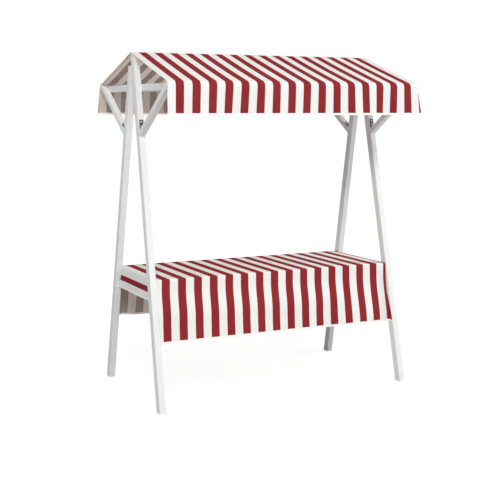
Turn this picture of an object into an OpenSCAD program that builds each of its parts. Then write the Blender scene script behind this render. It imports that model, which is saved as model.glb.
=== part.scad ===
/* [End frames] */
// Width over the outer faces of the two end frames
stall_w = 1600; // [1300:10:1900]
// Distance from the ridge line to the front of a front foot
front_foot_y = 470; // [450:1:490]
// Distance from the ridge line to the back of a rear foot
rear_foot_y = 463; // [450:1:490]
// Width of a leg, seen from the front
leg_w = 36; // [30:1:42]
// Depth of a leg, seen from the end
leg_d = 52; // [46:1:58]
// Front face of the front leg, ahead of the ridge line at ridge height
front_leg_lead = 31; // [28:1:38]
// Back face of the rear leg, behind the ridge line at ridge height
rear_leg_lag = 40; // [34:1:46]
// Height of the level top end of a rear leg
rear_leg_h = 1924; // [1922:1:1940]
// Bevel along the long edges of the timber
edge_bevel = 2.5; // [1:0.5:4]

/* [Roof frame] */
// Height of the top of the canopy
ridge_h = 2004; // [1990:2:2020]
// Height at which the slope of the canopy meets its hanging edge
eave_h = 1817; // [1805:2:1829]
// Distance from the ridge line to the hanging edge of the canopy
eave_reach = 596; // [560:2:620]
// Thickness of the rails and ties
rail_w = 36; // [30:1:42]
// Depth of the ridge rail
ridge_d = 46; // [40:1:56]
// Height of a tie
tie_d = 40; // [34:1:46]
// Thickness of a brace, seen from the front
brace_w = 36; // [30:1:38]
// Thickness of a brace, seen from the end
brace_d = 32; // [28:1:38]
// Height at which the underside of a brace meets its leg
brace_foot_h = 1510; // [1440:10:1560]
// Height at which the underside of a brace ends, outside the eave rail
brace_head_h = 1800; // [1780:2:1806]

/* [Table] */
// Height of the table with its cloth on
table_h = 706; // [660:2:760]
// Depth of the table boards together
table_d = 622; // [560:2:640]
// Thickness of a table board
board_t = 16; // [12:1:22]
// Gap between two table boards
board_gap = 4; // [2:1:8]
// Height of the bearers that carry the ends of the boards
bearer_d = 46; // [36:1:60]

/* [Cloths] */
// Length of the canopy along the ridge
canopy_l = 1606; // [1602:2:1640]
// Height of the hanging edge of the canopy
valance_h = 179; // [140:1:220]
// How far a slope of the canopy sags at its middle
canopy_sag = 3; // [1:1:12]
// Radius of the canopy where it bends down
canopy_bend = 22; // [12:1:30]
// How far the hanging edge swings out at its hem
valance_flare = 2; // [1:1:12]
// Thickness of both cloths
cloth_t = 2; // [1.5:0.5:3]
// Height of the front hem of the table cloth above the ground
front_hem_h = 355; // [300:5:500]
// Height of the back hem of the table cloth above the ground
back_hem_h = 385; // [300:5:500]
// How far the front drop of the table cloth stands out at its hem
front_flare = 36; // [10:2:60]
// How far the back drop of the table cloth stands out at its hem
back_flare = 60; // [10:2:80]
// Height of the end flaps of the table cloth
flap_h = 126; // [90:2:170]
// Radius of the table cloth where it bends down
cloth_bend = 8; // [5:1:12]

/* [Brackets] */
// Thickness of the bent steel
steel_t = 3; // [2:0.5:4]
// Width of a bracket
bracket_w = 24; // [18:1:28]
// Length of one leaf of a bracket
leaf_l = 64; // [50:1:70]
// Diameter of a screw hole
screw_d = 6; // [4:0.5:7]

/* [Hidden] */

white_paint = "white";
steel = "dimgray";
stripe_red = "firebrick";
hole_fn = 24;
bend_r = 2;
bracket_steps = 4;
slope_steps = 8;
bend_steps = 5;
valance_steps = 3;
drop_steps = 4;
drop_curve = 1.3;
first_screw = 0.35;
second_screw = 0.8;

frame_x = stall_w / 2;
leg_in_x = frame_x - leg_w;
// A pair of legs as the distance of its feet and its lean
front_legs = [front_foot_y, atan((front_foot_y - front_leg_lead) / ridge_h)];
rear_legs = [rear_foot_y, atan((rear_foot_y - rear_leg_lag) / ridge_h)];

roof_slope = (ridge_h - eave_h) / eave_reach;
roof_angle = atan(roof_slope);
cloth_drop = cloth_t / cos(roof_angle);
ridge_top = ridge_h - cloth_drop;
ridge_bottom = under_roof(rail_w / 2) - ridge_d;
rail_gap = 2;
rail_out_y = eave_reach - cloth_t - rail_gap;
rail_in_y = rail_out_y - rail_w;
rail_bottom = under_roof(rail_out_y) - rail_w;
tie_gap = 3;
tie_top = under_roof(rail_out_y) - tie_gap;
eave_r = canopy_bend - cloth_t - rail_gap;
free_from = 60;

board_top = table_h - cloth_t;
board_bottom = board_top - board_t;
board_x = leg_in_x - cloth_t;
cloth_y = table_d / 2 + cloth_t;
board_w = (table_d - 2 * board_gap) / 3;
apron_w = 36;
batten_d = 24;

// Height of the underside of the straight roof at a distance from the ridge line
function under_roof(y) = ridge_top - roof_slope * abs(y);

// Distance of the outer faces of a pair of legs from the ridge line at a height
function leg_face_y(legs, z) = legs[0] - tan(legs[1]) * z;

// Bend of the back eave rail, from its outer face up to the slope of the roof
function eave_arc() =
    let (cy = rail_out_y - eave_r, cz = under_roof(cy) - eave_r / cos(roof_angle))
    [for (i = [0:bend_steps])
        let (a = (90 - roof_angle) * i / bend_steps)
        [cy + eave_r * cos(a), cz + eave_r * sin(a)]];

// Outline of timber with bevelled long edges
module timber(w, d, l) {
    b = edge_bevel;
    linear_extrude(l)
        polygon([
            [b, 0], [w - b, 0], [w, b], [w, d - b],
            [w - b, d], [b, d], [0, d - b], [0, b]
        ]);
}

// Extrudes an outline of depths and heights along the stall
module along_stall(x0, l) {
    translate([x0, 0, 0])
        rotate([90, 0, 90])
            linear_extrude(l)
                children();
}

// Extrudes an outline of widths and heights from front to back
module front_to_back(l) {
    translate([0, l / 2, 0])
        rotate([90, 0, 0])
            linear_extrude(l)
                children();
}

// Space above the ground and under the cloth of the roof
module under_cloth() {
    along_stall(-stall_w, 2 * stall_w)
        polygon(concat(
            [[-rail_out_y, 0], [rail_out_y, 0]],
            eave_arc(), [[0, ridge_top]], mirrored(reversed(eave_arc()))
        ));
}

// Copies a left piece to the right end
module right_side() {
    mirror([1, 0, 0])
        children();
}

// Turns a rear piece into a front one
module front_side() {
    mirror([0, 1, 0])
        children();
}

// Straight leg at the left end that leans in from its foot at the back
module leaning_leg(legs) {
    intersection() {
        translate([-frame_x, legs[0], 0])
            rotate([legs[1], 0, 0])
                translate([0, -leg_d, -leg_d])
                    timber(leg_w, leg_d, ridge_h * 1.1);
        under_cloth();
    }
}

module front_leg() {
    color(white_paint)
        front_side()
            leaning_leg(front_legs);
}

// Rear leg with a level top end, trimmed where it meets the back of the front leg
module rear_leg() {
    color(white_paint)
        difference() {
            leaning_leg(rear_legs);
            translate([-frame_x - 1, -eave_reach, rear_leg_h])
                cube([leg_w + 2, 2 * eave_reach, ridge_h]);
            front_side()
                translate([-frame_x - 1, front_foot_y, 0])
                    rotate([front_legs[1], 0, 0])
                        translate([0, -leg_d, 0])
                            cube([leg_w + 2, leg_d, ridge_h * 1.1]);
        }
}

module tie() {
    color(white_paint)
        translate([-leg_in_x, -rail_in_y, tie_top])
            rotate([-90, 0, 0])
                timber(rail_w, tie_d, 2 * rail_in_y);
}

// Angle of a brace above the level
function brace_angle(legs) =
    atan((brace_head_h - brace_foot_h) / (rail_out_y - leg_face_y(legs, brace_foot_h)));

// Brace at the left end and the back, mitred to the leg and cut to the eave
module brace(legs) {
    low = brace_foot_h - leg_d;
    color(white_paint)
        intersection() {
            translate([-leg_in_x - brace_w, leg_face_y(legs, brace_foot_h), brace_foot_h])
                rotate([brace_angle(legs) - 90, 0, 0])
                    translate([0, -brace_d, -2 * brace_d])
                        timber(brace_w, brace_d, 2 * rail_in_y);
            along_stall(-frame_x - brace_w, 2 * brace_w)
                polygon([
                    [leg_face_y(legs, low), low], [rail_out_y, low],
                    [rail_out_y, ridge_h], [leg_face_y(legs, ridge_h), ridge_h]
                ]);
            under_cloth();
        }
}

// Ridge rail with a roof-shaped top, between the tips of the front legs
module ridge_rail() {
    half = rail_w / 2;
    color(white_paint)
        along_stall(-leg_in_x, 2 * leg_in_x)
            polygon([
                [-half, ridge_bottom + edge_bevel], [-half + edge_bevel, ridge_bottom],
                [half - edge_bevel, ridge_bottom], [half, ridge_bottom + edge_bevel],
                [half, under_roof(half)], [0, ridge_top], [-half, under_roof(half)]
            ]);
}

// Rail under the bend of the canopy at the back, its top bevelled to the slope
module eave_rail() {
    color(white_paint)
        along_stall(-leg_in_x, 2 * leg_in_x)
            polygon(concat(
                [[rail_in_y + edge_bevel, rail_bottom], [rail_out_y - edge_bevel, rail_bottom],
                 [rail_out_y, rail_bottom + edge_bevel]],
                eave_arc(),
                [[rail_in_y, under_roof(rail_in_y)], [rail_in_y, rail_bottom + edge_bevel]]
            ));
}

module bearer() {
    color(white_paint)
        translate([-leg_in_x, -table_d / 2, board_bottom])
            rotate([-90, 0, 0])
                timber(rail_w, bearer_d, table_d);
}

module apron() {
    inner_x = leg_in_x - rail_w;
    color(white_paint)
        translate([-inner_x, table_d / 2 - apron_w, board_bottom - apron_w])
            rotate([90, 0, 90])
                timber(apron_w, apron_w, 2 * inner_x);
}

module middle_batten() {
    half_run = table_d / 2 - apron_w;
    color(white_paint)
        translate([-rail_w / 2, -half_run, board_bottom])
            rotate([-90, 0, 0])
                timber(rail_w, batten_d, 2 * half_run);
}

// One of the three boards of the table, counted from the front
module board(n) {
    y0 = -table_d / 2 + n * (board_w + board_gap);
    color(white_paint)
        translate([-board_x, y0, board_bottom])
            rotate([90, 0, 90])
                timber(board_w, board_t, 2 * board_x);
}

// Point at a distance and an angle from the vertical, leaning to the back
function polar(r, angle) = [r * sin(angle), r * cos(angle)];

// Outline of a steel strip bent between two faces, given by their angles from the vertical
module bent_strip(a1, a2, l1, l2) {
    half = (a2 - a1) / 2;
    mid = (a1 + a2) / 2;
    centre = polar((bend_r + steel_t) / sin(half), mid);
    turn = 180 - 2 * half;
    polygon(concat(
        [polar(l1, a1), polar(l1, a1) + polar(steel_t, a1 + 90)],
        [for (i = [0:bracket_steps])
            centre + polar(bend_r, a1 - 90 - turn * i / bracket_steps)],
        [polar(l2, a2) + polar(steel_t, a2 - 90), polar(l2, a2)],
        [for (i = [bracket_steps:-1:0])
            centre + polar(bend_r + steel_t, a1 - 90 - turn * i / bracket_steps)]
    ));
}

// Screw holes through the leaf of a bracket that lies at an angle from the vertical
module leaf_holes(angle, l) {
    for (r = [l * first_screw, l * second_screw])
        rotate([-angle, 0, 0])
            translate([0, -leg_d / 2, r])
                rotate([-90, 0, 0])
                    cylinder(h = leg_d, d = screw_d, $fn = hole_fn);
}

// Bent steel bracket with its bend at the origin, drawn across the width of the stall
module bracket(a1, a2, l1, l2) {
    color(steel)
        difference() {
            along_stall(-bracket_w / 2, bracket_w)
                bent_strip(a1, a2, l1, l2);
            leaf_holes(a1, l1);
            leaf_holes(a2, l2);
        }
}

// Bent bracket in the corner between a rear leg and its brace
module corner_bracket(legs) {
    a = brace_angle(legs);
    z = brace_foot_h + brace_d / cos(a) / (1 + tan(legs[1]) * tan(a));
    translate([-leg_in_x - brace_w / 2, leg_face_y(legs, z), z])
        bracket(-legs[1], 90 - a, leaf_l, leaf_l);
}

// Half of the canopy's outline, from the ridge to the hem, at a depth below its outer face
function canopy_half(o) =
    let (
        cy = eave_reach - canopy_bend,
        cz = ridge_h - roof_slope * cy - canopy_bend / cos(roof_angle),
        r = canopy_bend - o,
        top = ridge_h - o / cos(roof_angle)
    )
    concat(
        [[0, top]],
        [for (i = [0:slope_steps])
            let (u = i / slope_steps, y = free_from + (rail_in_y - free_from) * u)
            [y, top - roof_slope * y - canopy_sag * sin(180 * u)]],
        [for (i = [0:bend_steps])
            let (a = (90 - roof_angle) * (1 - i / bend_steps))
            [cy + r * cos(a), cz + r * sin(a)]],
        [for (i = [1:valance_steps])
            let (u = i / valance_steps)
            [eave_reach - o + valance_flare * u * u, cz + (eave_h - valance_h - cz) * u]]
    );

function reversed(points) = [for (i = [len(points) - 1:-1:0]) points[i]];

function mirrored(points) = [for (p = points) [-p[0], p[1]]];

// Without its first point, which both halves share
function tail(points) = [for (i = [1:len(points) - 1]) points[i]];

// One cloth over the ridge and both eaves, with its hanging edges
module canopy() {
    outer = canopy_half(0);
    inner = canopy_half(cloth_t);
    color(stripe_red)
        along_stall(-canopy_l / 2, canopy_l)
            polygon(concat(
                reversed(outer), mirrored(tail(outer)),
                mirrored(reversed(inner)), tail(inner)
            ));
}

// Hanging part of the table cloth, from its bend down to a hem, at a depth below its outer face
function cloth_drop_line(o, hem_h, flare) =
    let (top = table_h - cloth_bend)
    [for (i = [0:drop_steps])
        let (u = i / drop_steps)
        [cloth_y - o + flare * pow(u, drop_curve), top + (hem_h - top) * u]];

// Half of the table cloth's outline, from the middle to a hem, at a depth below its outer face
function cloth_half(o, hem_h, flare) =
    let (cy = cloth_y - cloth_bend, cz = table_h - cloth_bend, r = cloth_bend - o)
    concat(
        [[0, table_h - o]],
        [for (i = [0:bend_steps])
            let (a = 90 * (1 - i / bend_steps))
            [cy + r * cos(a), cz + r * sin(a)]],
        tail(cloth_drop_line(o, hem_h, flare))
    );

// Front and back edge of an end flap at a height, just clear of the two legs
function flap_edges(z) = [
    leg_d / cos(front_legs[1]) + cloth_t - leg_face_y(front_legs, z),
    leg_face_y(rear_legs, z) - leg_d / cos(rear_legs[1]) - cloth_t
];

// Flap down between the legs of the right end, with the strip of cloth that joins it to the top
module end_flap() {
    low = table_h - flap_h;
    high_y = flap_edges(table_h);
    low_y = flap_edges(low);
    along_stall(leg_in_x, cloth_t)
        polygon([[low_y[0], low], [low_y[1], low], [high_y[1], table_h], [high_y[0], table_h]]);
    translate([board_x, high_y[0], table_h - cloth_t])
        cube([2 * cloth_t, high_y[1] - high_y[0], cloth_t]);
}

// Table cloth with a front drop, a back drop and a flap down between the legs at each end
module table_cloth() {
    back_outer = cloth_half(0, back_hem_h, back_flare);
    back_inner = cloth_half(cloth_t, back_hem_h, back_flare);
    front_outer = cloth_half(0, front_hem_h, front_flare);
    front_inner = cloth_half(cloth_t, front_hem_h, front_flare);
    color(stripe_red)
        union() {
            along_stall(-board_x - cloth_t, 2 * (board_x + cloth_t))
                polygon(concat(
                    reversed(back_outer), mirrored(tail(front_outer)),
                    mirrored(reversed(front_inner)), tail(back_inner)
                ));
            end_flap();
            right_side() end_flap();
        }
}

front_leg();  // left_front_leg
rear_leg();  // left_rear_leg
right_side() front_leg();  // right_front_leg
right_side() rear_leg();  // right_rear_leg
tie();  // left_tie
right_side() tie();  // right_tie
front_side() brace(front_legs);  // left_front_brace
brace(rear_legs);  // left_rear_brace
right_side() front_side() brace(front_legs);  // right_front_brace
right_side() brace(rear_legs);  // right_rear_brace
ridge_rail();
front_side() eave_rail();  // front_eave_rail
eave_rail();  // rear_eave_rail
bearer();  // left_bearer
right_side() bearer();  // right_bearer
front_side() apron();  // front_apron
apron();  // rear_apron
middle_batten();
board(0);  // front_board
board(1);  // middle_board
board(2);  // rear_board
front_side() corner_bracket(front_legs);  // left_front_bracket
corner_bracket(rear_legs);  // left_rear_bracket
right_side() front_side() corner_bracket(front_legs);  // right_front_bracket
right_side() corner_bracket(rear_legs);  // right_rear_bracket
canopy();
table_cloth();
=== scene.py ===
"""Wooden market stall: painted timber frame, striped canopy and striped table cloth."""

import math

import bpy
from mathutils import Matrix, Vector


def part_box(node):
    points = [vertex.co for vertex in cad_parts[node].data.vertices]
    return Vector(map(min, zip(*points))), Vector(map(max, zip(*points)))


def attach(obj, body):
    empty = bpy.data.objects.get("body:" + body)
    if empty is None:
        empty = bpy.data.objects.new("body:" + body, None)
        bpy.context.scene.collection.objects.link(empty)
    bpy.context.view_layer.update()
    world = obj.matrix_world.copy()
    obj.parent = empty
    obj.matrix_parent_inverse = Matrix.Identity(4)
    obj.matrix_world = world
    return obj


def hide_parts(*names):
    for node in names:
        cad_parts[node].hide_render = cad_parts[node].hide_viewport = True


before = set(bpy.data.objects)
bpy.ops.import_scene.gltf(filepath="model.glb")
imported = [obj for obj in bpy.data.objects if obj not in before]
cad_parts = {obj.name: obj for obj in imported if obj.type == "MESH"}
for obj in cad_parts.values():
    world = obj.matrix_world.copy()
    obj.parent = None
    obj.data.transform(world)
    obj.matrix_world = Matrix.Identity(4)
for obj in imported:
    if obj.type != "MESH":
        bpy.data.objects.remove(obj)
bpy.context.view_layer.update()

MM = 0.001
# Less than any gap between two points, for comparing places
HAIR = 0.001 * MM

# Frame of the stall. A leg's reach is the distance of its outer face from the ridge line, at the
# ground and at the height of the ridge.
CANOPY_LOW, CANOPY_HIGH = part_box("canopy")
TABLE_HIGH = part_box("table_cloth")[1]
LEG_LOW, LEG_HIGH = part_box("right_front_leg")
RIDGE_Z = CANOPY_HIGH[2]
HALF_STALL = LEG_HIGH[0]
LEG_W = LEG_HIGH[0] - LEG_LOW[0]
FRONT_REACH, FRONT_REACH_TOP = -LEG_LOW[1], 31 * MM
REAR_REACH, REAR_REACH_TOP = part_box("right_rear_leg")[1][1], 40 * MM
FRONT_LEAN = math.atan2(FRONT_REACH - FRONT_REACH_TOP, RIDGE_Z)
REAR_LEAN = math.atan2(REAR_REACH - REAR_REACH_TOP, RIDGE_Z)
BRACE_FOOT_Z = 1510 * MM
BRACE_HEAD_Z = 1800 * MM
BRACE_D = 32 * MM
RAIL_OUT_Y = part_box("rear_eave_rail")[1][1]

# Both cloths. A red stripe is as wide as a white one.
CLOTH_T = 2 * MM
CANOPY_STRIPE = 48.93 * MM
CANOPY_FIRST_RED = -758.5 * MM
TABLE_STRIPE = 49.18 * MM
TABLE_FIRST_RED = -729.6 * MM
BINDING_W, BINDING_T = 11 * MM, 0.7 * MM
CANOPY_TURN_IN = 12 * MM
TABLE_TURN_IN = 8 * MM
TURNED_T = 1.2 * MM
TURNED_OVER = 0.2 * MM
# Steps of the cloths' grids, finer where the cloth bends or curls, and of the slanted right edge
CLOTH_STEP = 12 * MM
HANGING_STEP = 11 * MM
FLAP_STEP = 7 * MM
BEND_STEP = 3 * MM
TURN_STEP = 2 * MM
RIGHT_EDGE_STEP = 15 * MM


# Colours and nodes

def colour(hex_text):
    """Linear RGBA of an sRGB colour written as hex."""
    parts = [int(hex_text[i:i + 2], 16) / 255 for i in (1, 3, 5)]
    linear = [c / 12.92 if c <= 0.04045 else ((c + 0.055) / 1.055) ** 2.4 for c in parts]
    return (*linear, 1.0)


# A MapRange lists its value, the range it comes from and the range it goes to. A Mix takes its
# share at input 0. It has its two colours at 6 and 7 and the result at output 2, or its two numbers
# at 2 and 3 and the result at output 0.
def add(tree, kind, inputs=(), **settings):
    """Adds a node with its settings, sets or links its inputs, which are given in order, or by name
    or number, and returns its outputs."""
    node = tree.nodes.new("ShaderNode" + kind)
    for name, value in settings.items():
        setattr(node, name, value)
    for key, value in inputs.items() if isinstance(inputs, dict) else enumerate(inputs):
        if isinstance(value, bpy.types.NodeSocket):
            tree.links.new(value, node.inputs[key])
        else:
            node.inputs[key].default_value = value
    return node.outputs


def new_material(name):
    """Empty node material and its tree."""
    material = bpy.data.materials.new(name)
    material.use_nodes = True
    material.node_tree.nodes.clear()
    return material, material.node_tree


# Painted pine: planed softwood under two brushed coats of low-sheen water-based paint.
# The eye sees a soft white, faint latewood ridges and brush marks along the piece, and a few
# warmer patches where knots show through.
PAINT_WHITE = colour("#E6E8E8")
PAINT_WARM = colour("#E0DED8")
PAINT_GREY = colour("#D6D9DA")
# Brushed paint scatters most of what a smooth film of it would mirror
PAINT_GLOSS = 0.06
RING_SPACING = 7 * MM
BRUSH_SPACING = 1.5 * MM
KNOT_SPACING = 260 * MM
WORN_PATCH = 200 * MM
RIDGE_HEIGHT = 0.4 * MM
# Share of a pattern's scale along the piece: rings and brush marks are long, and knots are oval
LONG_GRAIN = 0.04
OVAL_KNOT = 0.5


def painted_pine(name, along):
    """Painted pine whose grain runs along a direction."""
    material, tree = new_material(name)
    turn = Vector((1, 0, 0)).rotation_difference(Vector(along)).to_euler()
    place = add(tree, "TexCoord")["Object"]
    grain = add(tree, "Mapping", {"Vector": place, "Rotation": turn}, vector_type="TEXTURE")[0]
    long_grain = add(tree, "Mapping", {"Vector": grain, "Scale": (LONG_GRAIN, 1, 1)})[0]
    long_knots = add(tree, "Mapping", {"Vector": grain, "Scale": (OVAL_KNOT, 1, 1)})[0]
    rings = add(tree, "TexNoise", {"Vector": long_grain, "Scale": 1 / RING_SPACING, "Detail": 3.0,
                                   "Roughness": 0.55, "Distortion": 0.4})["Fac"]
    brush = add(tree, "TexNoise", {"Vector": long_grain, "Scale": 1 / BRUSH_SPACING,
                                   "Detail": 2.0})["Fac"]
    knots = add(tree, "TexVoronoi", {"Vector": long_knots, "Scale": 1 / KNOT_SPACING})["Distance"]
    patches = add(tree, "TexNoise", {"Vector": place, "Scale": 1 / WORN_PATCH, "Detail": 4.0})["Fac"]
    worn = add(tree, "MapRange", [patches, 0.35, 0.75, 0.0, 0.35])[0]
    ridged = add(tree, "MapRange", [rings, 0.45, 0.7, 0.0, 0.22])[0]
    knotted = add(tree, "MapRange", [knots, 0.09, 0.03, 0.0, 0.5])[0]
    paint = add(tree, "Mix", {0: worn, 6: PAINT_WHITE, 7: PAINT_GREY}, data_type="RGBA")[2]
    paint = add(tree, "Mix", {0: ridged, 6: paint, 7: PAINT_WARM}, data_type="RGBA")[2]
    paint = add(tree, "Mix", {0: knotted, 6: paint, 7: PAINT_WARM}, data_type="RGBA")[2]
    rough = add(tree, "Math", [brush, 0.18, 0.36], operation="MULTIPLY_ADD")[0]
    marks = add(tree, "Math", [brush, 0.3], operation="MULTIPLY")[0]
    height = add(tree, "Math", [rings, 0.7, marks], operation="MULTIPLY_ADD")[0]
    bump = add(tree, "Bump", {"Height": height, "Strength": 0.35, "Distance": RIDGE_HEIGHT})[0]
    shader = add(tree, "BsdfPrincipled", {"Base Color": paint, "Roughness": rough, "Normal": bump,
                                          "IOR": 1.5, "Specular IOR Level": PAINT_GLOSS})[0]
    add(tree, "OutputMaterial", [shader])
    return material


# Striped canvas: plain-woven cotton duck with red and white stripes dyed into it.
# The eye sees crossing threads, small slubs and a matt surface. On the reverse the same stripes
# are duller, because the dye doesn't come all the way through, and daylight glows through them.
# Each pair is the colour where the yarn is full and where it is thin.
CANVAS_REDS = (colour("#932D30"), colour("#7F2127"))
CANVAS_WHITES = (colour("#EFEEEC"), colour("#E6E4E1"))
REVERSE_REDS = (colour("#DCCDC8"), colour("#CFBDB8"))
REVERSE_WHITES = (colour("#F8EFE6"), colour("#EEE2D7"))
GLOW_RED = colour("#8F665F")
GLOW_WHITE = colour("#FFEDE2")
# Painted shade for the hollows between the threads
THREAD_HOLLOW_SHADE = colour("#7C6F6C")
# Share of the light on the reverse that has come through the cloth
LIGHT_THROUGH = 0.55
# Real threads are 0.5 mm apart; they are drawn three times as coarse so that they show
THREAD_SPACING = 1.5 * MM
THREAD_HEIGHT = 0.3 * MM
# Slubs are long along their yarn, which runs down the cloth
SLUB_WIDTH = 1.43 * MM
LONG_SLUB = 0.03
FADED_PATCH = 286 * MM
# The dye runs a little to and fro along the edge of a stripe, over about one thread
DYE_RUN_SPACING = 6.25 * MM
DYE_RUN = 1.2 * MM
DYE_EDGE = 0.5 * MM


def stripes(tree, across, first_red, stripe):
    """1 inside a red stripe and 0 in a white one, with a soft edge."""
    from_first = add(tree, "Math", [across, first_red], operation="SUBTRACT")[0]
    pairs = add(tree, "Math", [from_first, 2 * stripe], operation="DIVIDE")[0]
    phase = add(tree, "Math", [pairs], operation="FRACT")[0]
    soft = DYE_EDGE / stripe
    rises = add(tree, "MapRange", [phase, 0.0, soft])[0]
    falls = add(tree, "MapRange", [phase, 0.5 + soft, 0.5])[0]
    return add(tree, "Math", [rises, falls], operation="MULTIPLY")[0]


def flap_bands(tree, is_red, across, along):
    """The stripes, with the one red band of each end flap beyond the ends of the table."""
    distance = add(tree, "Math", [across], operation="ABSOLUTE")[0]
    beyond = add(tree, "Math", [distance, HALF_LONG], operation="SUBTRACT")[0]
    past_end = add(tree, "Math", [beyond, 0.0], operation="GREATER_THAN")[0]
    aside = add(tree, "Math", [along], operation="ABSOLUTE")[0]
    on_width = add(tree, "Math", [aside, FLAP_HEM_Y + CLOTH_T], operation="LESS_THAN")[0]
    on_flap = add(tree, "Math", [past_end, on_width], operation="MULTIPLY")[0]
    centre, half_band = sum(FLAP_BAND) / 2, (FLAP_BAND[1] - FLAP_BAND[0]) / 2
    in_band = add(tree, "Math", [beyond, centre, half_band], operation="COMPARE")[0]
    flap_red = add(tree, "Math", [on_flap, in_band], operation="MULTIPLY")[0]
    off_flap = add(tree, "Math", [1.0, on_flap], operation="SUBTRACT")[0]
    return add(tree, "Math", [is_red, off_flap, flap_red], operation="MULTIPLY_ADD")[0]


def striped_canvas(name, first_red, stripe, reverse=False, with_flaps=False):
    """Canvas striped across the first flat coordinate, which runs along the stall."""
    material, tree = new_material(name)
    flat = add(tree, "Attribute", attribute_name="flat")["Vector"]
    across, along, _ = add(tree, "SeparateXYZ", [flat])
    run = add(tree, "TexNoise", {"Vector": flat, "Scale": 1 / DYE_RUN_SPACING, "Detail": 1.0})["Fac"]
    dye_edge = add(tree, "Math", [run, DYE_RUN, across], operation="MULTIPLY_ADD")[0]
    is_red = stripes(tree, dye_edge, first_red, stripe)
    if with_flaps:
        is_red = flap_bands(tree, is_red, across, along)

    warp_turn = add(tree, "Math", [across, 2 * math.pi / THREAD_SPACING], operation="MULTIPLY")[0]
    weft_turn = add(tree, "Math", [along, 2 * math.pi / THREAD_SPACING], operation="MULTIPLY")[0]
    warp = add(tree, "Math", [warp_turn], operation="SINE")[0]
    weft = add(tree, "Math", [weft_turn], operation="SINE")[0]
    weave = add(tree, "Math", [warp, weft], operation="MULTIPLY")[0]
    long_yarn = add(tree, "Mapping", {"Vector": flat, "Scale": (1, LONG_SLUB, 1)})[0]
    slubs = add(tree, "TexNoise", {"Vector": long_yarn, "Scale": 1 / SLUB_WIDTH, "Detail": 2.0})["Fac"]
    fade = add(tree, "TexNoise", {"Vector": flat, "Scale": 1 / FADED_PATCH, "Detail": 5.0})["Fac"]
    thin_yarn = add(tree, "MapRange", [slubs, 0.35, 0.7, 0.0, 0.45])[0]
    faded = add(tree, "MapRange", [fade, 0.35, 0.7, 0.0, 0.35])[0]
    tone = add(tree, "Math", [thin_yarn, faded], operation="ADD")[0]

    reds, whites = (REVERSE_REDS, REVERSE_WHITES) if reverse else (CANVAS_REDS, CANVAS_WHITES)
    red = add(tree, "Mix", {0: tone, 6: reds[0], 7: reds[1]}, data_type="RGBA")[2]
    white = add(tree, "Mix", {0: tone, 6: whites[0], 7: whites[1]}, data_type="RGBA")[2]
    dyed = add(tree, "Mix", {0: is_red, 6: white, 7: red}, data_type="RGBA")[2]
    # Painted shade: the hollows of the weave are darkened by up to a tenth
    between = add(tree, "MapRange", [weave, 0.1, -0.9, 0.0, 0.1])[0]
    woven = add(tree, "Mix", {0: between, 6: dyed, 7: THREAD_HOLLOW_SHADE}, data_type="RGBA")[2]
    rough = add(tree, "Math", [slubs, 0.10, 0.82], operation="MULTIPLY_ADD")[0]
    height = add(tree, "Math", [weave, 0.5, slubs], operation="MULTIPLY_ADD")[0]
    bump = add(tree, "Bump", {"Height": height, "Strength": 0.4, "Distance": THREAD_HEIGHT})[0]
    surface = add(tree, "BsdfPrincipled", {"Base Color": woven, "Roughness": rough, "Normal": bump,
                                           "Specular IOR Level": 0.03})[0]
    if reverse:
        # Light that falls on the other side glows through between the threads
        tint = add(tree, "Mix", {0: is_red, 6: GLOW_WHITE, 7: GLOW_RED}, data_type="RGBA")[2]
        through = add(tree, "BsdfTranslucent", {"Color": tint, "Normal": bump})[0]
        shader = add(tree, "MixShader", [LIGHT_THROUGH, surface, through])[0]
    else:
        # The outer side lets that light pass when it is met from inside the cloth
        inside = add(tree, "NewGeometry")["Backfacing"]
        clear = add(tree, "BsdfTransparent")[0]
        shader = add(tree, "MixShader", [inside, surface, clear])[0]
    add(tree, "OutputMaterial", [shader])
    return material


# Cotton binding tape: white twill folded over every hem and stitched down.
# The eye sees a fine diagonal rib and a row of stitches close to its inner edge, darkened with painted
# shade of the groove they sink into.
TAPE_WHITE = colour("#F6F4F0")
# Painted shade along the stitches, where they sink into the tape
STITCH_GROOVE_SHADE = colour("#CFCBC4")
RIB_SPACING = 1.8 * MM
STITCH_LENGTH = 4 * MM
# Share of a stitch's length that its thread shows on top
STITCH_ON_TOP = 0.62
STITCH_INSET = 2.5 * MM
STITCH_HALF_W = 0.6 * MM


def binding_tape():
    """Tape whose flat coordinates are its length and its width."""
    material, tree = new_material("cotton_binding_tape")
    flat = add(tree, "Attribute", attribute_name="flat")["Vector"]
    length, width, _ = add(tree, "SeparateXYZ", [flat])
    diagonal = add(tree, "Math", [length, width], operation="ADD")[0]
    rib_turn = add(tree, "Math", [diagonal, 2 * math.pi / RIB_SPACING], operation="MULTIPLY")[0]
    rib = add(tree, "Math", [rib_turn], operation="SINE")[0]
    stitches = add(tree, "Math", [length, STITCH_LENGTH], operation="DIVIDE")[0]
    phase = add(tree, "Math", [stitches], operation="FRACT")[0]
    dash = add(tree, "Math", [phase, STITCH_ON_TOP], operation="LESS_THAN")[0]
    row = add(tree, "Math", [width, BINDING_W - STITCH_INSET, STITCH_HALF_W], operation="COMPARE")[0]
    stitch = add(tree, "Math", [dash, row], operation="MULTIPLY")[0]
    # The stitches take painted shade of their groove
    shade = add(tree, "Math", [stitch, 0.8], operation="MULTIPLY")[0]
    thread = add(tree, "Mix", {0: shade, 6: TAPE_WHITE, 7: STITCH_GROOVE_SHADE}, data_type="RGBA")[2]
    height = add(tree, "Math", [rib, 0.3, stitch], operation="MULTIPLY_ADD")[0]
    bump = add(tree, "Bump", {"Height": height, "Strength": 0.4, "Distance": THREAD_HEIGHT})[0]
    shader = add(tree, "BsdfPrincipled", {"Base Color": thread, "Roughness": 0.8, "Normal": bump,
                                          "Sheen Weight": 0.1})[0]
    add(tree, "OutputMaterial", [shader])
    return material


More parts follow.
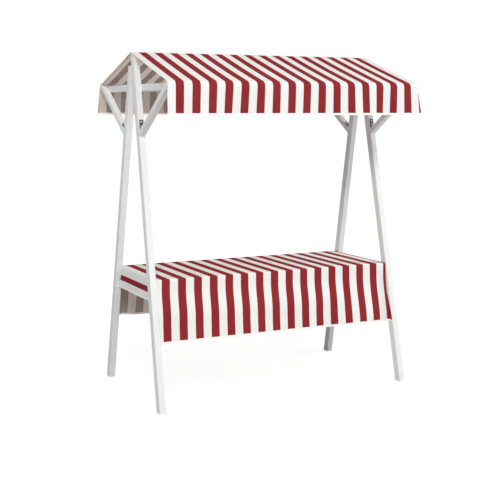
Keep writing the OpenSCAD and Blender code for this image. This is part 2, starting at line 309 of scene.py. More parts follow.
# Phosphated mild steel: pressed strip with a thin dark coat of zinc phosphate.
# The eye sees a dull charcoal sheen with lighter rubbed patches. Real crystals are about 0.05 mm
# wide; they are drawn coarser so that they show.
STEEL_DARK = colour("#505357")
STEEL_RUBBED = colour("#787B7F")
CRYSTAL_WIDTH = 1.1 * MM
RUBBED_PATCH = 14 * MM


def phosphated_steel():
    """Steel of the brackets."""
    material, tree = new_material("phosphated_steel")
    place = add(tree, "TexCoord")["Object"]
    crystals = add(tree, "TexNoise", {"Vector": place, "Scale": 1 / CRYSTAL_WIDTH, "Detail": 3.0})["Fac"]
    rubs = add(tree, "TexNoise", {"Vector": place, "Scale": 1 / RUBBED_PATCH, "Detail": 4.0})["Fac"]
    rubbed = add(tree, "MapRange", [rubs, 0.5, 0.75])[0]
    coat = add(tree, "Mix", {0: rubbed, 6: STEEL_DARK, 7: STEEL_RUBBED}, data_type="RGBA")[2]
    rough = add(tree, "Math", [crystals, 0.25, 0.35], operation="MULTIPLY_ADD")[0]
    bump = add(tree, "Bump", {"Height": crystals, "Strength": 0.2, "Distance": 0.1 * MM})[0]
    shader = add(tree, "BsdfPrincipled", {"Base Color": coat, "Roughness": rough, "Normal": bump,
                                          "Metallic": 0.6})[0]
    add(tree, "OutputMaterial", [shader])
    return material


# Zinc-plated steel: bright screw heads with a faintly blue passivated coat.
# The eye sees small mirror-like glints softened by fine scuffs.
ZINC_BRIGHT = colour("#C9CCD0")
ZINC_DULL = colour("#A7ABB0")
SCUFF_SPACING = 2.5 * MM


def plated_steel():
    """Steel of the bracket screws."""
    material, tree = new_material("zinc_plated_steel")
    place = add(tree, "TexCoord")["Object"]
    scuffs = add(tree, "TexNoise", {"Vector": place, "Scale": 1 / SCUFF_SPACING, "Detail": 4.0})["Fac"]
    dulled = add(tree, "MapRange", [scuffs, 0.4, 0.7])[0]
    coat = add(tree, "Mix", {0: dulled, 6: ZINC_BRIGHT, 7: ZINC_DULL}, data_type="RGBA")[2]
    rough = add(tree, "Math", [scuffs, 0.25, 0.35], operation="MULTIPLY_ADD")[0]
    shader = add(tree, "BsdfPrincipled", {"Base Color": coat, "Roughness": rough, "Metallic": 1.0})[0]
    add(tree, "OutputMaterial", [shader])
    return material


# Mesh helpers

def mesh_piece(name, points, faces, flat, materials, material_of_face, smooth):
    """Piece from points and faces, with its flat coordinates kept on its points."""
    mesh = bpy.data.meshes.new(name)
    mesh.from_pydata(points, [], faces)
    kept = mesh.attributes.new("flat", "FLOAT_VECTOR", "POINT")
    kept.data.foreach_set("vector", [c for place in flat for c in place])
    for material in materials:
        mesh.materials.append(material)
    mesh.polygons.foreach_set("material_index", material_of_face)
    mesh.polygons.foreach_set("use_smooth", [smooth] * len(mesh.polygons))
    mesh.update()
    piece = bpy.data.objects.new(name, mesh)
    bpy.context.collection.objects.link(piece)
    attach(piece, "root")
    return piece


def spaced(low, high, step):
    """Evenly spaced values from low to high, about a step apart."""
    count = max(1, math.ceil((high - low) / step - 1e-6))
    return [low + (high - low) * i / count for i in range(count)] + [high]


class Sheet:
    """Cloth given by a function from flat coordinates to its middle surface. The cut moves points of
    a straight grid to where the cloth's slanted edges are cut."""

    def __init__(self, place, cut=lambda u, v: (u, v)):
        self.place = place
        self.cut = cut

    def normal(self, u, v):
        """Direction out of the side that shows."""
        step = 0.5 * MM
        du = self.place(u + step, v) - self.place(u - step, v)
        dv = self.place(u, v + step) - self.place(u, v - step)
        return du.cross(dv).normalized()

    def at(self, u, v, height):
        """Point over the middle surface, on the side that shows."""
        return self.place(u, v) + self.normal(u, v) * height


def cloth_mesh(name, sheet, us, vs, inside, materials, dye):
    """Closed cloth over the grid cells for which inside(u, v) holds at their middle. It wears the
    first material outside and on its edges, and the second on its reverse."""
    cells = [(i, j) for i in range(len(us) - 1) for j in range(len(vs) - 1)
             if inside((us[i] + us[i + 1]) / 2, (vs[j] + vs[j + 1]) / 2)]
    corners = sorted({(i + a, j + b) for i, j in cells for a in (0, 1) for b in (0, 1)})
    index = {corner: n for n, corner in enumerate(corners)}
    count = len(corners)
    points, flat = [], []
    for side in (CLOTH_T / 2, -CLOTH_T / 2):
        for i, j in corners:
            spot = sheet.cut(us[i], vs[j])
            points.append(sheet.at(*spot, side))
            flat.append((*dye(*spot), 0.0))
    faces, wears, edges = [], [], []
    for i, j in cells:
        ring = [index[c] for c in ((i, j), (i + 1, j), (i + 1, j + 1), (i, j + 1))]
        faces += [ring, [n + count for n in reversed(ring)]]
        wears += [0, 1]
        edges += zip(ring, ring[1:] + ring[:1])
    shared = set(edges)
    for a, b in edges:
        if (b, a) not in shared:
            faces.append([b, a, a + count, b + count])
            wears.append(0)
    return mesh_piece(name, points, faces, flat, materials, wears, True)


def edge_rail(corners, inset=0.0):
    """Points along the corners of an edge in flat coordinates, each with its mitred direction
    to the left, which is inwards. Both ends are moved inwards along the edge by the inset."""
    corners = [Vector(c) for c in corners]
    ways = [(b - a).normalized() for a, b in zip(corners, corners[1:])]
    corners[0] += ways[0] * inset
    corners[-1] -= ways[-1] * inset
    rail = []
    for n, here in enumerate(corners):
        ahead, behind = ways[min(n, len(ways) - 1)], ways[max(n - 1, 0)]
        inward, inward_before = Vector((-ahead.y, ahead.x)), Vector((-behind.y, behind.x))
        rail.append((here, (inward + inward_before) / (1 + inward.dot(inward_before))))
        if n < len(ways):
            length = (corners[n + 1] - here).length
            rail += [(here + ahead * s, inward) for s in spaced(0.0, length, CLOTH_STEP)[1:-1]]
    return rail


def edge_section(width, over, under):
    """Section of a strip folded over an edge, as pairs of distance inwards and height. It stands
    proud of the cloth by one thickness on the side that shows and by another on the reverse."""
    half, sunk = CLOTH_T / 2, 0.1 * MM
    inner = half - sunk
    return [(width, half + over), (-over, half + over), (-over, -half - under), (width, -half - under),
            (width, -inner), (-sunk, -inner), (-sunk, inner), (width, inner)]


def edge_strip(name, sheet, rail, section, materials, wears, dye=None):
    """Strip folded over the edge of a sheet along a rail, with flat ends. Its flat coordinates are
    those of the cloth if it is dyed with it, or else its own length and width."""
    points, flat, run = [], [], 0.0
    for n, (here, inward) in enumerate(rail):
        run += (here - rail[n - 1][0]).length if n else 0.0
        for across, height in section:
            spot = here + inward * across
            points.append(sheet.at(spot.x, spot.y, height))
            flat.append((*dye(spot.x, spot.y), height) if dye else (run, across, height))
    size = len(section)
    faces, worn = [], []
    for n in range(len(rail) - 1):
        for k in range(size):
            m = (k + 1) % size
            faces.append([n * size + k, n * size + m, (n + 1) * size + m, (n + 1) * size + k])
            worn.append(wears[k])
    last = (len(rail) - 1) * size
    faces += [list(range(size - 1, -1, -1)), list(range(last, last + size))]
    worn += [0, 0]
    return mesh_piece(name, points, faces, flat, materials, worn, False)


def folded(t, turn_at, angle, radius):
    """Depth along and drop below a straight line that bends down by an angle at turn_at."""
    setback = radius * math.tan(angle / 2)
    start = turn_at - setback
    if t <= start:
        return t, 0.0
    arc = radius * angle
    swept = min((t - start) / arc, 1.0) * angle
    along = start + radius * math.sin(swept)
    drop = radius * (1 - math.cos(swept))
    rest = max(t - start - arc, 0.0)
    return along + rest * math.cos(angle), drop + rest * math.sin(angle)


def smooth_step(value, low, high):
    """0 below low, 1 above high and smooth between them."""
    t = min(max((value - low) / (high - low), 0.0), 1.0)
    return t * t * (3 - 2 * t)


def ripple(x, seed, waves):
    """Gentle uneven wave: a sum of waves of given lengths and heights, shifted by the seed."""
    return sum(height * math.sin(2 * math.pi * x / length + seed * (n + 1.7))
               for n, (length, height) in enumerate(waves))


# Canopy: one sheet over the ridge and both eaves, with its hanging edges

HALF_CANOPY = CANOPY_HIGH[0]
CANOPY_HEM_Z = CANOPY_LOW[2]
EAVE_Y = 596 * MM
EAVE_Z = 1817 * MM
EAVE_BEND = 27 * MM
RIDGE_ROUND = 12 * MM
# Cloth of a hanging edge that its waves take up
VALANCE_SPARE = 4 * MM
SLOPE_FALL = RIDGE_Z - CLOTH_T / 2 - EAVE_Z
SLOPE_ANGLE = math.atan2(SLOPE_FALL, EAVE_Y)
SLOPE_L = math.hypot(EAVE_Y, SLOPE_FALL)
EAVE_ANGLE = math.pi / 2 - SLOPE_ANGLE
VALANCE_L = EAVE_Z - CANOPY_HEM_Z + VALANCE_SPARE
HALF_CUT = SLOPE_L + VALANCE_L - EAVE_BEND * (2 * math.tan(EAVE_ANGLE / 2) - EAVE_ANGLE)
# Sag in the middle of a slope, and waves as pairs of length and height
SLOPE_SAG = 2 * MM
SLOPE_WAVES = ((610 * MM, 1.2 * MM), (270 * MM, 0.5 * MM))
FRONT_PUCKERS = ((98 * MM, 0.8 * MM),)
REAR_WAVES = ((470 * MM, 3 * MM), (210 * MM, 1.6 * MM), (98 * MM, 0.8 * MM))
REAR_STANDS_OUT = 1 * MM
# How far the front hanging edge stands out at its hem, at places along the stall
VALANCE_WAVES = ((-803 * MM, 0 * MM), (-600 * MM, -7 * MM), (-400 * MM, -22 * MM),
                 (-100 * MM, -8 * MM), (70 * MM, -12 * MM), (250 * MM, -2 * MM),
                 (430 * MM, 10 * MM), (600 * MM, -10 * MM), (803 * MM, 10 * MM))
# Share of the hanging edge that lies against the eave rail
AGAINST_RAIL = 0.15
# The corners of the hanging edges flare out along the stall, and a little away from it
CORNER_W = 90 * MM
CORNER_FLARE = 11 * MM
RIGHT_FRONT_FLARE = 19 * MM
CORNER_STANDS_OUT = 8 * MM


def valance_wave(u):
    """How far the front hem stands out at a place along the stall."""
    for (low, low_out), (high, high_out) in zip(VALANCE_WAVES, VALANCE_WAVES[1:]):
        if u <= high:
            return low_out + (high_out - low_out) * smooth_step(u, low, high)
    return VALANCE_WAVES[-1][1]


def canopy_place(u, v):
    """Middle surface of the canopy: u along the ridge, v from the ridge towards the back."""
    side = -1.0 if v < 0 else 1.0
    s = abs(v)
    along, drop = folded(s, SLOPE_L, EAVE_ANGLE, EAVE_BEND)
    y = along * math.cos(SLOPE_ANGLE) - drop * math.sin(SLOPE_ANGLE)
    z = -along * math.sin(SLOPE_ANGLE) - drop * math.cos(SLOPE_ANGLE)
    if s < RIDGE_ROUND:
        z -= (RIDGE_ROUND - s) ** 2 / (2 * RIDGE_ROUND) * math.sin(SLOPE_ANGLE)
    loose = math.sin(math.pi * min(s / SLOPE_L, 1.0))
    z -= loose * (SLOPE_SAG + ripple(u, side, SLOPE_WAVES))
    hang = max(s - SLOPE_L, 0.0) / VALANCE_L
    if side < 0:
        below_rail = max(hang - AGAINST_RAIL, 0.0) / (1 - AGAINST_RAIL)
        y += below_rail * valance_wave(u) + hang * ripple(u, 1.0, FRONT_PUCKERS)
    else:
        y += hang * (REAR_STANDS_OUT + ripple(u, 3.0, REAR_WAVES))
    corner = max(abs(u) - (HALF_CANOPY - CORNER_W), 0.0) / CORNER_W
    flare = RIGHT_FRONT_FLARE if u > 0 and side < 0 else CORNER_FLARE
    x = u + math.copysign(hang * corner ** 2 * flare, u)
    y += hang * corner ** 2 * CORNER_STANDS_OUT
    return Vector((x, side * y, RIDGE_Z - CLOTH_T / 2 + z))


def canopy_dye(u, v):
    """Stripes run straight down from the ridge, also where the cloth widens to its corners."""
    return canopy_place(u, v).x, v


# Table cloth: a cross-shaped sheet, folded down over the four edges of the table. Low down, the
# right edge of the front drop is wider than the table and turns forward along the leg.

TABLE_Z = TABLE_HIGH[2]
TABLE_END = TABLE_HIGH[0]
TABLE_FRONT = 313 * MM
FOLD_R = 5 * MM
END_FOLD_R = 4 * MM
HALF_TOP = TABLE_FRONT - CLOTH_T / 2
HALF_LONG = TABLE_END - CLOTH_T / 2
HALF_DROP = 762 * MM
# Heights of the hems, and cloth that the curve of each drop takes up
FRONT_HEM_Z, FRONT_SPARE = 355 * MM, 3 * MM
BACK_HEM_Z, BACK_SPARE = 385 * MM, 5 * MM
FOLD_GAIN = 2 - math.pi / 2
FRONT_CUT = HALF_TOP + TABLE_Z - FRONT_HEM_Z - FOLD_R * FOLD_GAIN + FRONT_SPARE
BACK_CUT = HALF_TOP + TABLE_Z - BACK_HEM_Z - FOLD_R * FOLD_GAIN + BACK_SPARE
# End flaps: half their width at the table and at the hem, and their one red band below the edge
FLAP_L = 125 * MM
FLAP_Y, FLAP_HEM_Y = 258 * MM, 286 * MM
FLAP_CUT = HALF_LONG + FLAP_L - END_FOLD_R * FOLD_GAIN
FLAP_BAND = (47 * MM, 79 * MM)
FLAP_SWING = 12 * MM
FLAP_WAVES = ((310 * MM, 1.5 * MM),)
# Cloth beyond the ends of the table is a flap as far as this from the table's middle
FLAP_LIMIT = HALF_TOP - 1 * MM
# Swing of the drops away from the table. A span is a pair of shares of the drop's height, from
# which and to which it swings out.
DROP_H = 350 * MM
FRONT_SWING, FRONT_SPAN = 24 * MM, (0.15, 0.62)
HEM_SWING, HEM_SPAN = 8 * MM, (0.6, 1.1)
RIGHT_SWING, RIGHT_SPAN = 44 * MM, (0.18, 1.0)
# Where along the stall the front drop changes from its even left part to its looser right part
LOOSE_FROM, LOOSE_TO = 300 * MM, 600 * MM
# The back drop swings out nearly evenly, and its left corner stands out more from its top
BACK_SWING, BACK_EVENNESS = 60 * MM, 0.9
BACK_CORNER, BACK_CORNER_SPAN, BACK_CORNER_FROM = 24 * MM, (0.0, 0.3), 600 * MM
# Most that a hem is counted to lean outwards, as a share of the drop's height, when it is lifted
MOST_LEAN = 0.2
DROP_WAVES = ((830 * MM, 3 * MM), (370 * MM, 1.8 * MM), (190 * MM, 1.0 * MM))
# The waves of a drop are smaller near its ends, where the legs hold it
HELD_W, HELD_SHARE = 100 * MM, 0.8
# Right edge of the front drop: its extra width at the hem, the power by which that width grows on
# the way down, and where and how tightly the edge turns
TURN_W = 30 * MM
TURN_GROWTH = 1.2
TURN_FROM = 735 * MM
TURN_R = 4 * MM
# Left edge of the front drop: how far it curls in, fully only near the hem
CURL, CURL_W = 9 * MM, 12 * MM
CURL_TOP_SPAN, CURL_HEM_SPAN, CURL_TOP_SHARE = (0.0, 0.15), (0.7, 0.95), 0.4
# The back drop hangs askew by this much, from this far below the edge of the table
BACK_SKEW, SKEW_DEPTH = 12 * MM, 200 * MM
# Width over which the cloth passes from lying on the table to hanging beside it
EASE = 12 * MM


def turn_width(v):
    """Width of the cloth that turns forward at the right leg, from half-way down to the hem."""
    down = (-v - HALF_TOP) / (FRONT_CUT - HALF_TOP)
    return TURN_W * min(max(2 * down - 1, 0.0), 1.0) ** TURN_GROWTH


def table_cut(u, v):
    """The right edge of the front drop and the end flaps are cut slantwise, widest at their hems."""
    if u > TURN_FROM and v < -HALF_TOP:
        return u + (u - TURN_FROM) / (HALF_DROP - TURN_FROM) * turn_width(v), v
    beyond = abs(u) - HALF_DROP
    if beyond > 0 and abs(v) < FLAP_Y + HAIR:
        return u, v * (1 + (FLAP_HEM_Y / FLAP_Y - 1) * beyond / (FLAP_CUT - HALF_DROP))
    return u, v


def table_dye(u, v):
    """The back drop hangs a little askew, so that its stripes lie further to the left."""
    if abs(u) > HALF_DROP:
        return u, v
    return u + BACK_SKEW * smooth_step(v, HALF_TOP, HALF_TOP + SKEW_DEPTH), v


def drop_swing(u, side, hang):
    """How far a drop stands out from the edge of the table, at a share of its height."""
    if side > 0:
        corner = smooth_step(hang, *BACK_CORNER_SPAN) * smooth_step(-u, BACK_CORNER_FROM, HALF_DROP)
        swing = BACK_SWING * hang ** BACK_EVENNESS + BACK_CORNER * corner
    else:
        even = FRONT_SWING * smooth_step(hang, *FRONT_SPAN) + HEM_SWING * smooth_step(hang, *HEM_SPAN)
        loose = RIGHT_SWING * smooth_step(hang, *RIGHT_SPAN)
        swing = even + (loose - even) * smooth_step(u, LOOSE_FROM, LOOSE_TO)
    held = HELD_SHARE * smooth_step(abs(u), HALF_DROP - HELD_W, HALF_DROP)
    return swing + hang * ripple(u, 3.0 + side, DROP_WAVES) * (1 - held)


def table_place(u, v):
    """Middle surface of the table cloth: u along the table, v from its middle towards the back."""
    on_flap = abs(u) > HALF_DROP and abs(v) < FLAP_LIMIT
    y, fall_y = (abs(v), 0.0) if on_flap else folded(abs(v), HALF_TOP, math.pi / 2, FOLD_R)
    side = -1.0 if v < 0 else 1.0
    hang = max(fall_y - FOLD_R, 0.0) / DROP_H
    swing = drop_swing(u, side, hang) if hang else 0.0
    # A drop that swings out reaches less far down
    z = TABLE_Z - CLOTH_T / 2 - fall_y + swing / 2 * min(swing / DROP_H, MOST_LEAN)
    y += swing
    if side < 0 and hang:
        curled = max(1 - (u + HALF_DROP) / CURL_W, 0.0) ** 2
        opened = CURL_TOP_SHARE + (1 - CURL_TOP_SHARE) * smooth_step(hang, *CURL_HEM_SPAN)
        y -= CURL * curled * opened * smooth_step(hang, *CURL_TOP_SPAN)
    on_end = 1.0 if on_flap else 1 - smooth_step(abs(v), FLAP_Y, FLAP_Y + EASE)
    x, fall_x = folded(abs(u), HALF_LONG, math.pi / 2, END_FOLD_R)
    flap_hang = max(fall_x - END_FOLD_R, 0.0) / FLAP_L
    x += flap_hang * (FLAP_SWING + ripple(v, 5.0, FLAP_WAVES))
    x = on_end * x + (1 - on_end) * min(abs(u), HALF_DROP)
    z -= on_end * fall_x
    turned = smooth_step(-v, HALF_TOP, HALF_TOP + EASE)
    if u > 0 and turned > 0 and not on_flap:
        bent, forward = folded(u, HALF_DROP, math.pi / 2, TURN_R)
        x = turned * bent + (1 - turned) * min(u, HALF_DROP)
        y += turned * forward
    return Vector((math.copysign(x, u), side * y, z))


def in_table_cloth(u, v):
    """True inside the shape that the table cloth is cut to, before its edges are slanted."""
    return abs(u) < HALF_DROP or (abs(v) < FLAP_Y and abs(u) < FLAP_CUT)


# Bracket screws: pan heads with a cross recess, on a short shank through the strip

SCREW_HEAD_R = 5 * MM
SCREW_HEAD_H = 2.4 * MM
SCREW_SHANK_R = 2.8 * MM
# Share of its height that the head loses towards its rim
SCREW_CROWN = 0.45
# Radii of the rings over the head in millimetres, from its middle to its rim
SCREW_RINGS = (0.35, 0.8, 1.3, 1.8, 2.2, 2.6, 3.0, 3.6, 4.2, 4.7, 5.0)
SCREW_SIDES = 48
RECESS_R = 2.7 * MM
RECESS_W = 0.7 * MM
RECESS_DEPTH = 1.3 * MM
STRIP_T = 3 * MM
LEAF_L = 64 * MM
SCREWS_AT = (0.35 * LEAF_L, 0.8 * LEAF_L)
# Turn of the first recess in radians, and how much the next screw's and the other end's differ, so
# that each ends up another way, as on screws driven by hand
RECESS_TURN, NEXT_TURN, END_TURN = 0.4, 0.9, 0.3


def leg_face(reach, lean, z):
    """Distance of the outer face of a leg from the ridge line at a height."""
    return reach - math.tan(lean) * z


def brace_rise(reach, lean):
    """Angle between a brace and the ground."""
    return math.atan2(BRACE_HEAD_Z - BRACE_FOOT_Z, RAIL_OUT_Y - leg_face(reach, lean, BRACE_FOOT_Z))


def head_height(x, y):
    """Height of a screw head over its underside, with the cross recess along x and y."""
    r = math.hypot(x, y)
    dome = SCREW_HEAD_H * (1 - SCREW_CROWN * (r / SCREW_HEAD_R) ** 3)
    return dome - RECESS_DEPTH if min(abs(x), abs(y)) < RECESS_W and r < RECESS_R else dome


def screw_ring(radius, turn, z=None):
    """Ring of points about the axis of a screw, turned with its recess. It lies on the head unless
    its height is given."""
    ring = []
    for k in range(SCREW_SIDES):
        angle = 2 * math.pi * k / SCREW_SIDES
        x, y = radius * math.cos(angle), radius * math.sin(angle)
        ring.append(Vector((x * math.cos(turn) - y * math.sin(turn),
                            x * math.sin(turn) + y * math.cos(turn),
                            head_height(x, y) if z is None else z)))
    return ring


def screw_points(turn):
    """Rings of one screw about its own axis, from the middle of the head down to the tip."""
    rings = [[Vector((0, 0, head_height(0.0, 0.0)))]]
    rings += [screw_ring(radius * MM, turn) for radius in SCREW_RINGS]
    rings += [screw_ring(SCREW_HEAD_R, turn, 0.0), screw_ring(SCREW_SHANK_R, turn, 0.0),
              screw_ring(SCREW_SHANK_R, turn, -STRIP_T)]
    return rings + [[Vector((0, 0, -STRIP_T))]]


def screws_mesh(name, places, material):
    """All screws of one bracket: each place is a point, its axis and the turn of its recess."""
    points, faces = [], []
    for spot, axis, turn in places:
        to_axis = Vector((0, 0, 1)).rotation_difference(axis)
        starts = []
        for ring in screw_points(turn):
            starts.append((len(points), len(ring)))
            points += [spot + to_axis @ p for p in ring]
        for (a, na), (b, nb) in zip(starts, starts[1:]):
            for k in range(SCREW_SIDES):
                m = (k + 1) % SCREW_SIDES
                if na == 1:
                    faces.append([a, b + k, b + m])
                elif nb == 1:
                    faces.append([a + k, b, a + m])
                else:
                    faces.append([a + k, b + k, b + m, a + m])
    return mesh_piece(name, points, faces, points, [material], [0] * len(faces), False)


def bracket_screws(side, reach, lean, out):
    """Screw places of one bracket: side is -1 at the left end and 1 at the right, and out is -1 at
    the front and 1 at the back."""
    rise = brace_rise(reach, lean)
    z = BRACE_FOOT_Z + BRACE_D / math.cos(rise) / (1 + math.tan(lean) * math.tan(rise))
    corner = Vector((side * (HALF_STALL - LEG_W / 2), leg_face(reach, lean, z), z))
    on_leg = (Vector((0, -math.sin(lean), math.cos(lean))), Vector((0, math.cos(lean), math.sin(lean))))
    on_brace = (Vector((0, math.cos(rise), math.sin(rise))), Vector((0, -math.sin(rise), math.cos(rise))))
    places = []
    for along, away in (on_leg, on_brace):
        for n, r in enumerate(SCREWS_AT):
            spot = corner + along * r + away * STRIP_T
            turn = RECESS_TURN + NEXT_TURN * n + END_TURN * side
            places.append((Vector((spot.x, out * spot.y, spot.z)),
                           Vector((away.x, out * away.y, away.z)), turn))
    return places


# Finishes of the timber and the brackets

front_rise = brace_rise(FRONT_REACH, FRONT_LEAN)
rear_rise = brace_rise(REAR_REACH, REAR_LEAN)
GRAIN = {
    "front_leg": (0, math.sin(FRONT_LEAN), math.cos(FRONT_LEAN)),
    "rear_leg": (0, -math.sin(REAR_LEAN), math.cos(REAR_LEAN)),
    "front_brace": (0, -math.cos(front_rise), math.sin(front_rise)),
    "rear_brace": (0, math.cos(rear_rise), math.sin(rear_rise)),
    "tie": (0, 1, 0), "bearer": (0, 1, 0), "batten": (0, 1, 0),
    "rail": (1, 0, 0), "apron": (1, 0, 0), "board": (1, 0, 0),
}
finishes = {ending: painted_pine("painted_pine_" + ending, along) for ending, along in GRAIN.items()}
finishes["bracket"] = phosphated_steel()
for node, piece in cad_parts.items():
    if node not in ("canopy", "table_cloth"):
        piece.data.materials.clear()
        piece.data.materials.append(next(finishes[end] for end in finishes if node.endswith(end)))

zinc = plated_steel()
for side, end_name in ((-1, "left"), (1, "right")):
    screws_mesh(end_name + "_front_bracket_screws",
                bracket_screws(side, FRONT_REACH, FRONT_LEAN, -1), zinc)
    screws_mesh(end_name + "_rear_bracket_screws",
                bracket_screws(side, REAR_REACH, REAR_LEAN, 1), zinc)


# The two cloths and their hems

canopy_canvas = [
    striped_canvas("striped_canvas_canopy", CANOPY_FIRST_RED, CANOPY_STRIPE),
    striped_canvas("striped_canvas_canopy_reverse", CANOPY_FIRST_RED, CANOPY_STRIPE, reverse=True),
]
table_canvas = [
    striped_canvas("striped_canvas_table", TABLE_FIRST_RED, TABLE_STRIPE, with_flaps=True),
    striped_canvas("striped_canvas_table_reverse", TABLE_FIRST_RED, TABLE_STRIPE,
                   reverse=True, with_flaps=True),
]
tape = binding_tape()


def hem_strips(sheet, edges, turn_in, canvas, dye):
    """Strips along the edges of a sheet: tape over the hems, and turned canvas along the sides."""
    tape_section = edge_section(BINDING_W, BINDING_T, BINDING_T)
    turned_section = edge_section(turn_in, TURNED_OVER, TURNED_T)
    # The three faces of the turned hem that lie under the cloth wear its reverse
    turned_wears = [0, 0, 1, 1, 1, 0, 0, 0]
    strips = []
    for name, edge in edges.items():
        if name.endswith("tape"):
            strips.append(edge_strip(name, sheet, edge_rail(edge), tape_section,
                                     [tape], [0] * len(tape_section)))
        else:
            strips.append(edge_strip(name, sheet, edge_rail(edge, BINDING_W), turned_section,
                                     canvas, turned_wears, dye))
    return strips


canopy_sheet = Sheet(canopy_place)
canopy = cloth_mesh(
    "striped_canopy", canopy_sheet,
    spaced(-HALF_CANOPY, HALF_CANOPY, CLOTH_STEP), spaced(-HALF_CUT, HALF_CUT, HANGING_STEP),
    lambda u, v: True, canopy_canvas, canopy_dye)
canopy_edges = {
    "canopy_front_hem_tape": [(-HALF_CANOPY, -HALF_CUT), (HALF_CANOPY, -HALF_CUT)],
    "canopy_right_turned_hem": [(HALF_CANOPY, -HALF_CUT), (HALF_CANOPY, HALF_CUT)],
    "canopy_rear_hem_tape": [(HALF_CANOPY, HALF_CUT), (-HALF_CANOPY, HALF_CUT)],
    "canopy_left_turned_hem": [(-HALF_CANOPY, HALF_CUT), (-HALF_CANOPY, -HALF_CUT)],
}
canopy_strips = hem_strips(canopy_sheet, canopy_edges, CANOPY_TURN_IN,
                           canopy_canvas, canopy_dye)
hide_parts("canopy")

flap_us = spaced(HALF_DROP, FLAP_CUT, FLAP_STEP)
table_us = sorted(set(
    [-u for u in flap_us] + spaced(-HALF_DROP, CURL_W - HALF_DROP, BEND_STEP)
    + spaced(CURL_W - HALF_DROP, TURN_FROM, CLOTH_STEP) + spaced(TURN_FROM, HALF_DROP, TURN_STEP)
    + flap_us))
table_vs = sorted(set(
    spaced(-FRONT_CUT, -HALF_TOP - EASE, HANGING_STEP) + spaced(-HALF_TOP - EASE, -FLAP_Y, BEND_STEP)
    + spaced(-FLAP_Y, FLAP_Y, CLOTH_STEP) + spaced(FLAP_Y, HALF_TOP + EASE, BEND_STEP)
    + spaced(HALF_TOP + EASE, BACK_CUT, HANGING_STEP)))
table_sheet = Sheet(table_place, table_cut)
cloth = cloth_mesh("striped_table_cloth", table_sheet, table_us, table_vs, in_table_cloth,
                   table_canvas, table_dye)
right_edge = [(HALF_DROP + turn_width(v), v) for v in spaced(-FRONT_CUT, -HALF_TOP, RIGHT_EDGE_STEP)]
table_edges = {
    "table_cloth_front_hem_tape": [(-HALF_DROP, -FRONT_CUT), right_edge[0]],
    "table_cloth_right_front_turned_hem": right_edge + [(HALF_DROP, -FLAP_Y)],
    "table_cloth_right_flap_hem_tape": [(FLAP_CUT, -FLAP_HEM_Y), (FLAP_CUT, FLAP_HEM_Y)],
    "table_cloth_right_rear_turned_hem": [(HALF_DROP, FLAP_Y), (HALF_DROP, BACK_CUT)],
    "table_cloth_rear_hem_tape": [(HALF_DROP, BACK_CUT), (-HALF_DROP, BACK_CUT)],
    "table_cloth_left_rear_turned_hem": [(-HALF_DROP, BACK_CUT), (-HALF_DROP, FLAP_Y)],
    "table_cloth_left_flap_hem_tape": [(-FLAP_CUT, FLAP_HEM_Y), (-FLAP_CUT, -FLAP_HEM_Y)],
    "table_cloth_left_front_turned_hem": [(-HALF_DROP, -FLAP_Y), (-HALF_DROP, -FRONT_CUT)],
}
table_strips = hem_strips(table_sheet, table_edges, TABLE_TURN_IN,
                          table_canvas, table_dye)
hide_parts("table_cloth")


# Camera at the photograph's angle: level, with the horizon above the middle of the picture

PHOTO_SIZE = 500
FOCAL_PIXELS = 1027.0
HORIZON_ROW = 109.4
SENSOR_MM = 36.0
CAMERA_PLACE = (-2.801, -5.724, 1.666)
CAMERA_TURN = -25.86

lens = bpy.data.cameras.new("camera")
lens.sensor_width = SENSOR_MM
lens.lens = SENSOR_MM * FOCAL_PIXELS / PHOTO_SIZE
lens.shift_y = -(PHOTO_SIZE / 2 - HORIZON_ROW) / PHOTO_SIZE
camera = bpy.data.objects.new("camera", lens)
camera.location = CAMERA_PLACE
camera.rotation_euler = (math.radians(90), 0, math.radians(CAMERA_TURN))
bpy.context.collection.objects.link(camera)
scene = bpy.context.scene
scene.camera = camera
scene.view_settings.view_transform = "Standard"


# Floor, backdrop and soft studio light

# Colour of the floor for the light that it throws on the stall, and for the camera
FLOOR_BOUNCE = colour("#CECECE")
FLOOR_SEEN = colour("#7C7C7C")
BACKDROP_WHITE = colour("#FFFFFF")
# Own light of the floor as the camera sees it near the stall. The lamps no longer reach the floor
# further away, so it rises to full white over these distances from the middle of the stall.
FLOOR_LIFT = 0.88
FLOOR_FADE = (1.2, 3.2)
FLOOR_REACH = 40.0
FLOOR_Z = -1 * MM
SKY_LEVEL = 0.06
SKY_OVERHEAD = 0.28
# Direction in which the stall sees each lamp, its distance and width in metres, and its watts
LAMPS = {
    "key_lamp": ((-0.534, -1.0, 0.74), 9.0, 2.3, 425),
    "front_fill": ((0.1, -1.0, 0.05), 6.0, 3.0, 67),
    "left_fill": ((-1.0, -0.25, 0.5), 6.0, 2.5, 68),
    "right_fill": ((1.0, -0.3, 0.45), 6.0, 3.0, 200),
}
LAMPS_AIM = Vector((0, 0, 1.2))


def meets_backdrop(tree):
    """1 for rays from the camera, off a glossy surface or through a clear one, which all meet the
    white backdrop. Light that soaks through the cloth isn't one of them."""
    path = add(tree, "LightPath")
    clear = add(tree, "Math", [path["Is Transmission Ray"], path["Is Diffuse Ray"]],
                operation="SUBTRACT")[0]
    mirrored = add(tree, "Math", [path["Is Glossy Ray"], clear], operation="MAXIMUM")[0]
    return add(tree, "Math", [path["Is Camera Ray"], mirrored], operation="MAXIMUM")[0]


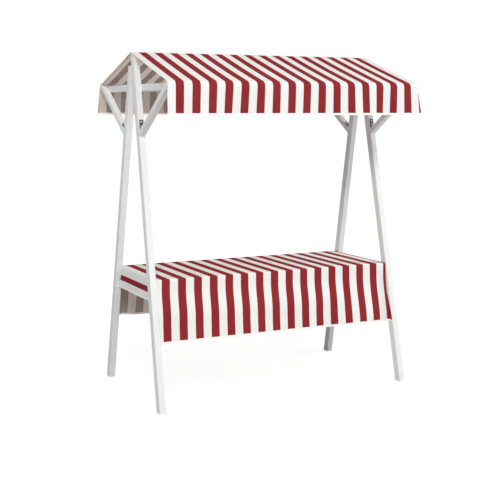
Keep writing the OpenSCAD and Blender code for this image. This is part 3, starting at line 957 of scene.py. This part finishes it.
def studio_floor():
    """Wide pale floor that shows nearly white to the camera and keeps the stall's soft shadow."""
    mesh = bpy.data.meshes.new("studio_floor")
    corners = [(x * FLOOR_REACH, y * FLOOR_REACH, FLOOR_Z) for x, y in ((-1, -1), (1, -1), (1, 1), (-1, 1))]
    mesh.from_pydata(corners, [], [(0, 1, 2, 3)])
    material, tree = new_material("studio_floor_paint")
    seen = meets_backdrop(tree)
    paint = add(tree, "Mix", {0: seen, 6: FLOOR_BOUNCE, 7: FLOOR_SEEN}, data_type="RGBA")[2]
    place = add(tree, "NewGeometry")["Position"]
    away = add(tree, "VectorMath", [place], operation="LENGTH")["Value"]
    lift = add(tree, "MapRange", [away, *FLOOR_FADE, FLOOR_LIFT, 1.0])[0]
    glow = add(tree, "Math", [seen, lift], operation="MULTIPLY")[0]
    shader = add(tree, "BsdfPrincipled", {"Base Color": paint, "Roughness": 0.9,
                                          "Specular IOR Level": 0.0, "Emission Strength": glow,
                                          "Emission Color": BACKDROP_WHITE})[0]
    add(tree, "OutputMaterial", [shader])
    mesh.materials.append(material)
    floor = bpy.data.objects.new("studio_floor", mesh)
    bpy.context.collection.objects.link(floor)


def studio_world():
    """Soft light that is strongest overhead, behind a white backdrop."""
    world = bpy.data.worlds.new("studio_world")
    world.use_nodes = True
    tree = world.node_tree
    tree.nodes.clear()
    place = add(tree, "TexCoord")["Generated"]
    height = add(tree, "SeparateXYZ", [place])[2]
    up = add(tree, "Math", [height, 0.0], operation="MAXIMUM")[0]
    light = add(tree, "Math", [up, SKY_OVERHEAD, SKY_LEVEL], operation="MULTIPLY_ADD")[0]
    strength = add(tree, "Mix", {0: meets_backdrop(tree), 2: light, 3: 1.0}, data_type="FLOAT")[0]
    sky = add(tree, "Background", [BACKDROP_WHITE, strength])[0]
    add(tree, "OutputWorld", [sky])
    scene.world = world


def studio_lamp(name, towards, distance, width, watts):
    """Large square area lamp, turned to the stall."""
    light = bpy.data.lights.new(name, "AREA")
    light.shape = "SQUARE"
    light.size = width
    light.energy = watts
    lamp = bpy.data.objects.new(name, light)
    lamp.location = LAMPS_AIM + Vector(towards).normalized() * distance
    lamp.rotation_euler = (-Vector(towards)).to_track_quat("-Z", "Y").to_euler()
    bpy.context.collection.objects.link(lamp)


studio_floor()
studio_world()
for name, values in LAMPS.items():
    studio_lamp(name, *values)
